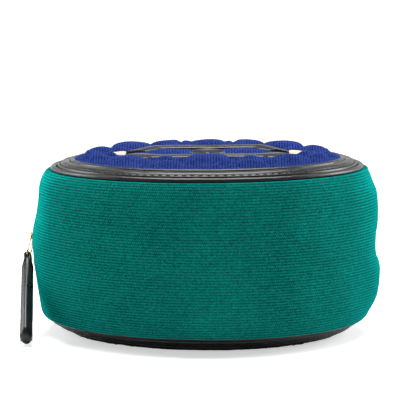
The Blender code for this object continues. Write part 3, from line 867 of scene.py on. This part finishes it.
def make_quilt(prefix, side):
    """The padded jersey face. Its ribs run from front to rear."""
    name = prefix + "_quilt"
    radius, step = QUILT_RADIUS + 0.7 * MM, RIB_PITCH / 5
    x = np.arange(-math.floor(radius / step), math.floor(radius / step) + 1)[:, None] * step
    half = np.sqrt(np.maximum(radius ** 2 - x ** 2, 0))
    y = half * np.linspace(-1, 1, 131)
    puff = PRESSED_PUFFS(x, y) if side > 0 else PLAIN_PUFFS(x, y)
    height = valley(np.minimum(np.hypot(x, y), QUILT_RADIUS)) + softened(puff)
    height = height + 0.10 * MM * waves(places(x, y, 0), 7 * MM, 71 + side)
    if side < 0:
        height = QUILT_TOP - 0.05 * MM - np.maximum(QUILT_TOP - 0.55 * MM - height, 0)
    height = height - 0.13 * MM * (1 - np.abs(np.sin(math.pi * x / RIB_PITCH)) ** 0.7)
    top = places(x, y, MID_Z + side * height)
    low = places(x, half * np.linspace(-1, 1, 5), MID_Z + side * QUILT_LOW)
    mesh = shell(name, top, low)
    map_from_above(mesh)
    quilt = piece(name, mesh, "blue_jersey", prefix, [prefix + "_quilted_panel"])


def map_from_above(mesh):
    """A UV map whose U runs to the rear and V to the right, in metres, so that ribs follow U."""
    layer = mesh.uv_layers.get("UVMap") or mesh.uv_layers.new(name="UVMap")
    corner = np.empty(len(mesh.loops), dtype=np.int32)
    mesh.loops.foreach_get("vertex_index", corner)
    uv = coordinates(mesh)[corner][:, [1, 0]].astype(np.float32)
    layer.data.foreach_set("uv", uv.ravel())


def make_quilt_seams():
    """Thread along the diamonds' sides on the lid, lying in the valleys."""
    reach = QUILT_RADIUS - 1.5 * MM
    along = np.linspace(-3, 3, 600)
    seams = []
    for k in range(-2, 3):
        for x, y in (from_diamonds(k, along), from_diamonds(along, k)):
            away = np.hypot(x, y)
            free = (under_strip(x, y) < 0.05) & (away < reach)
            drawn_in = np.minimum(1, reach / np.maximum(away, 1e-9))
            height = valley(np.minimum(away, reach)) + PRESSED_PUFFS(x * drawn_in, y * drawn_in) + 0.12 * MM
            route = places(x, y, MID_Z + height)
            breaks = np.flatnonzero(np.diff(free.astype(int))) + 1
            for part, use in zip(np.split(route, breaks), np.split(free, breaks)):
                if use[0] and len(part) > 6:
                    seams.append((part, UPWARDS))
    sew("lid_quilt_seams", seams, "blue_jersey", "lid", 1.9 * MM, 0.7 * MM, 0.2 * MM)


def make_fillings(prefix, side):
    """The wadding and the board under the quilt, and the lining disc inside the case."""
    share, azimuth = np.linspace(0, 1, 24), AROUND[::4][:, None]
    for end, node, slot, lump in (("_wadding_pad", "_wadding", "wadding", 0.10 * MM),
                                  ("_pressed_board", "_board", "board", 0.02 * MM),
                                  ("_lining_cloth", "_lining_disc", "lining", 0.08 * MM)):
        low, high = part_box("lid" + node)
        radius = high.x * np.concatenate([share[1:], share[:0:-1]])
        lumps = lump * (waves(turned(radius, azimuth, 0.0), 13 * MM, 91) - 1)
        height = np.where(np.arange(len(radius)) < len(share) - 1, high.z + lumps, low.z) - MID_Z
        mesh = closed(surface(prefix + end, turned(radius, azimuth, side * height), closed_along=True))
        map_from_above(mesh)
        pad = piece(prefix + end, mesh, slot, prefix, [prefix + node])


# --- ornament -------------------------------------------------------------------------------------
def top_of_quilt(x, y):
    return valley(np.hypot(x, y)) + bed_level(x)


def strip_line(inset, x):
    """Y of the ornament's outer edge, moved inwards, at each x."""
    x = np.abs(x)
    run, rise = MOTIF_APEX - 25 * MM, MOTIF_CORNER.y
    along = math.hypot(run, rise)
    slanted = (MOTIF_APEX - inset * along / rise - x) * rise / run
    level = rise - inset
    soft = 1.5 * MM
    blend = -soft * np.log(np.exp(-slanted / soft) + np.exp(-level / soft))
    return np.maximum(blend, 0)


def make_strip(name, side):
    """A padded leather strip that runs from one tip of the ornament to the other."""
    share = np.linspace(0, 1, 15)
    outer_x = np.linspace(-1, 1, 160) * (MOTIF_TIP_START + 1.2 * MM)
    inner_x = outer_x * (1 - 1.62 * STRIP_WIDTH / MOTIF_APEX)
    outer = np.stack([outer_x, strip_line(0.0, outer_x)], -1)[:, None]
    inner = np.stack([inner_x, strip_line(STRIP_WIDTH, inner_x)], -1)[:, None]
    flat = outer + (inner - outer) * share[:, None]
    x, y = flat[..., 0], side * flat[..., 1]
    bed = MID_Z + top_of_quilt(x, y)
    crown = (1 - np.abs(2 * share - 1) ** 3.0) ** 0.6
    padding = (1.25 * MM + 0.10 * MM * waves(places(x, y, 0), 9 * MM, 61)) * crown
    seams = 0.35 * MM * bell(np.minimum(share, 1 - share), 0.16, 0.05)
    over = places(x, y, bed + 0.15 * MM + padding - seams)
    mesh = shell(name, over, places(x, y, bed - 0.6 * MM))
    strip = piece(name + "_leather", mesh, "black_leather", "lid", [name])
    edges = [(over[:, column] + 0.05 * MM * UPWARDS, UPWARDS) for column in (2, 12)]
    sew(name + "_stitches", edges, "black_leather", "lid", 1.8 * MM, 0.8 * MM, 0.16 * MM)


def make_patch(name, corners, slot, level, crown_height):
    """A puffed leather patch with rounded corners, from its corner points."""
    corners = np.array(corners, float)
    middle = corners.mean(0)
    t = np.linspace(0, 1, 9)[:, None]
    outline = []
    for k, corner in enumerate(corners):
        start = corner + (corners[k - 1] - corner) * 0.16
        end = corner + (corners[(k + 1) % len(corners)] - corner) * 0.16
        outline.append((1 - t) ** 2 * start + 2 * t * (1 - t) * corner + t * t * end)
    share = np.linspace(0.0, 1.0, 14)[1:]
    flat = middle + (np.concatenate(outline) - middle)[:, None] * share[:, None]
    x, y = flat[..., 0], flat[..., 1]
    bed = MID_Z + top_of_quilt(x, y) + level
    crown = crown_height * (1 - share ** 2.6) ** 0.6 - 0.22 * MM * bell(share, 0.84, 0.04)
    over, under = places(x, y, bed + 0.1 * MM + crown), places(x, y, bed - 0.7 * MM)
    mesh = closed(surface(name, np.concatenate([over, under[:, ::-1]], 1), closed_along=True))
    patch = piece(name + "_leather", mesh, slot, "lid", [name])
    seam = np.concatenate([over[:, 10], over[:1, 10]])
    sew(name + "_stitches", [(seam, UPWARDS)], slot, "lid", 1.2 * MM, 0.6 * MM, 0.14 * MM)


def make_ornament():
    for name, side in (("motif_strip_front", -1), ("motif_strip_rear", 1)):
        make_strip(name, side)
    half = float(strip_line(0.0, np.array([MOTIF_TIP_START]))[0]) + 0.3 * MM
    for name, side in (("motif_tip_left", -1), ("motif_tip_right", 1)):
        start = side * (MOTIF_TIP_START - 0.4 * MM)
        corners = [(start, -half), (side * (MOTIF_APEX + 0.8 * MM), 0), (start, half)]
        make_patch(name, corners, "tan_leather", 0.75 * MM, 0.75 * MM)
    diamond = [(STUD_HALF, 0), (0, STUD_HALF), (-STUD_HALF, 0), (0, -STUD_HALF)]
    make_patch("motif_stud", diamond, "black_leather", 0.0, 1.6 * MM)


# --- zip ------------------------------------------------------------------------------------------
TEETH_FROM, TEETH_TO = math.radians(2), math.radians(178)
TOOTH_RADIUS = TAPE_RADIUS - 0.5 * MM


def make_teeth(prefix, side):
    """One row of metal teeth, each a head on a waist on two legs that clasp the tape."""
    count = int((TEETH_TO - TEETH_FROM) * TOOTH_RADIUS / TOOTH_PITCH)
    pitch = (TEETH_TO - TEETH_FROM) / count
    angles = TEETH_FROM + pitch * (np.arange(count)[:, None, None] + (0.25 if side > 0 else 0.75))
    levels = np.array([-0.55, -0.45, -0.10, 0.25, 0.60, 1.00, 1.40, 3.00, 3.50, 3.65])[:, None] * MM
    along = np.array([0.25, 0.46, 0.53, 0.50, 0.36, 0.36, 0.55, 0.55, 0.46, 0.25])[:, None] * MM
    outward = np.array([0.35, 0.70, 0.82, 0.82, 0.72, 0.80, 1.00, 1.00, 0.90, 0.60])[:, None] * MM
    first, second = rounded_square(12, 0.55, 0.55)
    x, y = TOOTH_RADIUS + outward * first, along * second
    cos, sin = np.cos(angles), np.sin(angles)
    points = places(x * cos - y * sin, x * sin + y * cos, MID_Z + side * levels)
    mesh = closed(surface(prefix + "_metal_teeth", points, closed_across=True))
    piece(prefix + "_metal_teeth", mesh, "brass", prefix, [prefix + "_zip_teeth"])


def make_tape(prefix, side):
    """The woven tape behind the slot, thicker along the edge that the teeth clasp."""
    name = prefix + "_woven_tape"
    azimuth = np.linspace(-ZIP_END + 0.004, math.pi + ZIP_END - 0.004, 260)
    a, heights = azimuth[:, None], np.linspace(TAPE_EDGE, TAPE_EDGE + TAPE_WIDTH, 20)
    bead = 0.25 * MM * bell(heights, 3.0 * MM, 0.7 * MM)
    behind = 0.1 * MM + 0.6 * MM * smooth((heights - ZIP_SLOT) / (8 * MM))
    radius = TAPE_RADIUS - behind + 0.06 * MM * waves(turned(TAPE_RADIUS, a, heights), 8 * MM, 81)
    outer, inner = (turned(layer, a, side * heights) for layer in (radius + bead, radius - bead - 0.5 * MM))
    tape = piece(name, shell(name, outer, inner, (azimuth * TAPE_RADIUS, heights)), "green_tape", prefix,
                 [prefix + "_zip_tape"])


def make_end_tab(node, start, end):
    """The folded ends of the tape, sewn across the slot between two azimuths in degrees."""
    name, reach = node + "_cloth", ZIP_SLOT - 1.7 * MM
    azimuth, heights = np.radians(np.linspace(start, end, 24)), np.linspace(-reach, reach, 28)
    share = np.linspace(-1, 1, 24)[:, None]
    puff = 0.5 * MM * (1 - share ** 4) * (1 - (heights / reach) ** 6)
    ridge = 0.12 * MM * np.cos(heights * 2 * math.pi / (2.4 * MM))
    outer = turned(TAPE_RADIUS - 0.2 * MM + puff + ridge, azimuth[:, None], heights)
    inner = turned(TAPE_RADIUS - 1.0 * MM, azimuth[:, None], heights)
    mesh = shell(name, outer, inner, (azimuth * CASE_RADIUS, heights))
    tab = piece(name, mesh, "green_tape", "base", [node])


def make_stop(node, body):
    """A small brass clamp: rounded, with a groove across it."""
    low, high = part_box(node)
    middle = (low + high) / 2
    levels = np.linspace(-1, 1, 13)[:, None]
    width = (1 - levels ** 6) ** 0.4 * (1 - 0.18 * bell(levels, 0, 0.16))
    first, second = rounded_square(20, 0.6, 0.6)
    x, y = TOOTH_RADIUS + 1.15 * MM * width * first, 0.9 * MM * width * second
    points = places(x, y, middle.z + (high.z - low.z) / 2 * levels)
    mesh = closed(surface(node + "_clamp", points, closed_across=True))
    azimuth = math.atan2(middle.y, middle.x)
    piece(node + "_clamp", placed(mesh, Matrix.Rotation(azimuth, 4, "Z")), "brass", body, [node])


def make_zip():
    for prefix, side in FACES:
        make_teeth(prefix, side)
        make_tape(prefix, side)
    make_end_tab("zip_end_tab_left", 181.4, 184.6)
    make_end_tab("zip_end_tab_right", -4.6, -0.1)
    for node, body in (("lid_top_stop", "lid"), ("base_top_stop", "base"), ("zip_bottom_stop", "base")):
        make_stop(node, body)


# --- slider, link and pull ------------------------------------------------------------------------
OUTWARD = Vector(JOINTS["link_swing"]["axis"])
SLIDER_ANGLE = math.atan2(OUTWARD.y, OUTWARD.x)
SLIDER_FRAME = Matrix.Translation((0, 0, MID_Z)) @ Matrix.Rotation(SLIDER_ANGLE, 4, "Z")
SLIDER_HALF, SLIDER_WIDE, SLIDER_NARROW = 5.0 * MM, 3.9 * MM, 3.1 * MM
PLATE_RADIUS, INNER_PLATE = 75.1 * MM, 71.2 * MM
BAIL_HALF, BAIL_TOP, WIRE = 3.0 * MM, 78.4 * MM, 0.52 * MM
LINK_HALF_WIDTH, LINK_CORNER = 2.9 * MM, 1.6 * MM
LINK_ABOVE, LINK_BELOW = 1.3 * MM, 12.3 * MM
PULL_LENGTH, PULL_HALF, PULL_THICK = 53.5 * MM, 4.6 * MM, 5.4 * MM
NECK_HALF, NECK_THICK = 2.0 * MM, 3.8 * MM
PULL_TUCK = math.radians(7.5)


def axes(origin, out, down):
    """A frame whose X is outwards and whose Z runs back up, in world coordinates."""
    up = -down.normalized()
    out = (out - up * out.dot(up)).normalized()
    side = up.cross(out)
    frame_matrix = Matrix((out, side, up)).transposed().to_4x4()
    frame_matrix.translation = origin
    return frame_matrix


SWING, FLAP = (Vector(JOINTS[name]["pos_m"]) for name in ("link_swing", "pull_flap"))
LINK_AXES = axes(SWING, OUTWARD, FLAP - SWING)
PULL_AXES = axes(FLAP, OUTWARD, FLAP - SWING) @ Matrix.Rotation(PULL_TUCK, 4, "Y")


def slider_width(y):
    """Half-width of the slider: wide at the mouth, narrower at the tail."""
    return SLIDER_NARROW + (SLIDER_WIDE - SLIDER_NARROW) * smooth((y + 1 * MM) / (4 * MM))


def slider_plate(base, rise, dome):
    """A plate with rounded shoulders, domed on its outer side."""
    first, second = rounded_square(56, 0.55, 0.5)
    y = SLIDER_HALF * first[:, None]
    z = slider_width(y) * second[:, None]
    scale = np.array([0.02, 0.35, 0.65, 0.84, 0.94, 0.985, 1.0, 1.0, 0.985, 0.94, 0.6, 0.02])
    lift = np.array([1.0, 0.97, 0.9, 0.84, 0.74, 0.55, 0.35, -0.45, -0.6, -0.7, -0.7, -0.7])
    x = base + np.where(lift > 0, dome, rise) * lift
    return closed(surface("plate", places(x, y * scale, z * scale), closed_along=True))


def make_slider():
    """Two domed plates, a bridge between the rows of teeth, side flanges, and the bail."""
    bridge = Matrix.Translation((73.8 * MM, 3.6 * MM, 0)) @ Matrix.Diagonal((1.6 * MM, 0.22, 0.14, 1.0))
    parts = [slider_plate(PLATE_RADIUS + 0.5 * MM, 0.5 * MM, 0.8 * MM),
             slider_plate(INNER_PLATE + 0.5 * MM, 0.5 * MM, 0.5 * MM),
             placed(slider_plate(0.0, 1.0, 1.0), bridge)]
    y = np.linspace(-0.2, 0.92, 14) * SLIDER_HALF
    flange = 0.5 * MM * np.sin(np.linspace(0.35, math.pi - 0.35, 14)) ** 0.4
    for side in (-1, 1):
        for x in (PLATE_RADIUS - 0.1 * MM, INNER_PLATE + 1.1 * MM):
            route = places(x, y, side * (slider_width(y) - 0.45 * MM))
            parts.append(tube(route, flange, side=(1.0, 0.0, 0.0)))
    corner = 1.2 * MM
    knee = BAIL_TOP - WIRE - corner
    leg = np.stack([np.full(6, BAIL_HALF), np.linspace(PLATE_RADIUS, knee - 0.1 * MM, 6)], -1)
    half = np.concatenate([leg, arc((BAIL_HALF - corner, knee), corner, 0, 90, 8)])
    flat = np.concatenate([half, half[::-1] * (-1, 1)])
    parts.append(tube(places(flat[:, 1], flat[:, 0], 0), WIRE, 14))
    foot = arc((0, 0), 1.0, -90, 90, 7)
    rise = PLATE_RADIUS + 0.8 * MM + 0.35 * MM * (foot[:, 1] + 1)
    for y in (-BAIL_HALF, BAIL_HALF):
        parts.append(tube(places(rise, y, 0), 0.35 * MM + 0.6 * MM * np.abs(foot[:, 0]) ** 0.5, 14))
    mesh = placed(joined("slider_brass", parts), SLIDER_FRAME)
    piece("slider_brass", mesh, "brass", "slider", ["slider_body"])


def make_link():
    """The wire loop between the bail and the pull."""
    wide, top, bottom = LINK_HALF_WIDTH - LINK_CORNER, LINK_ABOVE - LINK_CORNER, LINK_CORNER - LINK_BELOW
    corners = ((wide, top, 0), (-wide, top, 90), (-wide, bottom, 180), (wide, bottom, 270))
    flat = np.concatenate([arc((x, z), LINK_CORNER, start, start + 90, 9) for x, z, start in corners])
    loop = tube(places(0, flat[:, 0], flat[:, 1]), WIRE, 14, cyclic=True, side=(1.0, 0.0, 0.0))
    piece("link_brass", placed(loop, LINK_AXES), "brass", "link", ["pull_link"])


def pull_width(down):
    """Half-width of the pull at a distance below the link's bar."""
    flare = NECK_HALF + (PULL_HALF - NECK_HALF) * smooth((down - 3 * MM) / (30 * MM)) ** 0.75
    to_end = PULL_LENGTH - down
    round_end = np.sqrt(np.clip(1 - np.clip(1 - to_end / PULL_HALF, 0, 1) ** 2, 0, 1))
    return flare * np.maximum(round_end, 0.02)


def pull_depth(down):
    """Half-thickness of the pull's middle at a distance below the link's bar."""
    full = NECK_THICK / 2 + (PULL_THICK - NECK_THICK) / 2 * smooth((down - 2 * MM) / (6 * MM))
    to_end = PULL_LENGTH - down
    return full * np.clip(1 - np.clip(1 - to_end / (3.5 * MM), 0, 1) ** 3, 0.001, 1) ** 0.4


def pull_surface(share, down):
    """Depth of a face at a share of the half-width: a roof with rounded slopes, meeting in a ridge."""
    roof = (1 - np.abs(share) ** 2.2) ** 0.6
    groove = 0.07 * bell(np.abs(share), 0.72, 0.07) * smooth((down - 9 * MM) / (4 * MM))
    return pull_depth(down) * (roof - groove)


def make_pull():
    """The padded leather pull: two faces that meet in a glued edge, with a loop round the link's bar."""
    down = PULL_LENGTH - (PULL_LENGTH - 2.2 * MM) * np.linspace(1, 0, 120)[:, None] ** 1.35
    share = np.sin(np.linspace(-math.pi / 2, math.pi / 2, 25))
    y = share * pull_width(down)
    uneven = 0.07 * MM * waves(places(0, y, -down), 7 * MM, 101) * (1 - share ** 2)
    front, back = (places(face * (pull_surface(share, down) + uneven), y, -down) for face in (1, -1))
    faces = np.concatenate([front[:, :-1], back[:, :0:-1]], 1)
    body = closed(surface("pull_body", faces, closed_across=True))
    turn = np.linspace(-0.25, 1.25, 22)[:, None] * math.pi
    legs = np.array([[1.25, -4.5], [1.15, -2.6]]) * MM
    loop = 1.45 * MM * np.concatenate([np.cos(turn), np.sin(turn)], 1)
    path = np.concatenate([legs, loop, legs[::-1] * (-1, 1)])
    ahead = np.gradient(path, axis=0)
    ahead /= np.linalg.norm(ahead, axis=1, keepdims=True)
    first, second = rounded_square(16, 0.5, 0.6)
    wide, thick = NECK_HALF * 0.98 * first, 0.42 * MM * second
    points = places(path[:, :1] + ahead[:, 1:] * thick, wide, path[:, 1:] - ahead[:, :1] * thick)
    strap = closed(surface("pull_strap", points, closed_across=True))
    mesh = placed(joined("pull_padded_leather", [body, strap]), PULL_AXES)
    pull = piece("pull_padded_leather", mesh, "black_leather", "pull", ["pull_leather"])
    sew_pull()


def sew_pull():
    """A line of stitches inside the edge on both faces."""
    run = np.linspace(10 * MM, PULL_LENGTH - 0.9 * PULL_HALF, 60)
    run = run[run < PULL_LENGTH - PULL_HALF]
    right = np.stack([0.72 * pull_width(run), -run], -1)
    tip = arc((0, -(PULL_LENGTH - PULL_HALF)), PULL_HALF * 0.72, 0, -180, 30)
    y, z = np.concatenate([right, tip, right[::-1] * (-1, 1)]).T
    share = np.clip(y / pull_width(-z), -0.9, 0.9)
    seams = []
    for face in (1, -1):
        route = places(face * pull_surface(share, -z), y, z)
        seams.append((route, places(face * np.cos(0.6 * share), np.sin(0.6 * share), 0)))
    sew("pull_stitches", seams, "black_leather", "pull", 1.9 * MM, 0.8 * MM, 0.2 * MM, PULL_AXES)


# --- stage and camera -----------------------------------------------------------------------------
def soft_light(name, place, aim, size, power):
    data = bpy.data.lights.new(name, "AREA")
    data.shape = "RECTANGLE"
    data.size, data.size_y = size
    data.energy = power
    light = added(name, data)
    light.location = place
    light.rotation_euler = (Vector(aim) - Vector(place)).to_track_quat("-Z", "Y").to_euler()


FLOOR_HALF = 1.3


def make_stage():
    """A pale floor, a white surround and soft studio lights."""
    side = np.array([-FLOOR_HALF, FLOOR_HALF])
    floor = surface("floor", places(side[:, None], side, 0))
    floor.materials.append(floor_paper())
    added("floor", floor)
    make_surround()
    soft_light("overhead", (0, 0.12, 0.9), (0, 0, 0.05), (0.8, 0.5), 15.5)
    soft_light("left", (-0.9, 0.35, 0.42), (0, 0, 0.04), (0.5, 0.6), 5.5)
    soft_light("right", (0.9, 0.35, 0.42), (0, 0, 0.04), (0.5, 0.6), 7.5)


def make_surround():
    """A studio that is bright low down and dim overhead and in front, seen as plain white behind."""
    world = bpy.data.worlds.new("white_studio")
    bpy.context.scene.world = world
    world.use_nodes = True
    nodes = Nodes(world.node_tree)
    background = nodes.tree.nodes["Background"]
    background.inputs["Color"].default_value = (1, 1, 1, 1)
    direction = nodes.split("Generated")
    strength = nodes.times(nodes.span(direction["Z"], 0.55, 0.05, 0.30, 1.0, "SMOOTHSTEP"),
                           nodes.span(direction["Y"], -0.6, 0.5, 0.45, 1.0, "SMOOTHSTEP"))
    seen = nodes.node("ShaderNodeLightPath", "Is Camera Ray")
    shown = nodes.node("ShaderNodeMix", "Result", Factor=seen, A=strength, B=1.1)
    nodes.feed(background.inputs["Strength"], shown)


CAMERA_PLACE = Vector((-2.4, -1050, 172)) * MM
CAMERA_AIM = Vector((-2.4, 0, 57.7)) * MM
CAMERA_ROLL = math.radians(0.3)


def make_camera():
    """The main view: from the front and a little above, from about a metre away."""
    data = bpy.data.cameras.new("camera")
    data.lens = 215.3
    data.sensor_width = 36.0
    data.clip_start, data.clip_end = 0.01, 200.0
    camera = added("camera", data)
    look = (CAMERA_AIM - CAMERA_PLACE).to_track_quat("-Z", "Y").to_matrix().to_4x4()
    camera.matrix_world = Matrix.Translation(CAMERA_PLACE) @ look @ Matrix.Rotation(CAMERA_ROLL, 4, "Z")
    bpy.context.scene.camera = camera


def main():
    make_front_gusset()
    make_linings()
    make_rims()
    for prefix, side in FACES:
        make_rear_wall(prefix, side)
        make_quilt(prefix, side)
        if side > 0:
            make_quilt_seams()
        make_fillings(prefix, side)
    make_ornament()
    make_zip()
    make_slider()
    make_link()
    make_pull()
    make_stage()
    make_camera()
    bpy.context.scene.view_settings.view_transform = "Standard"


main()
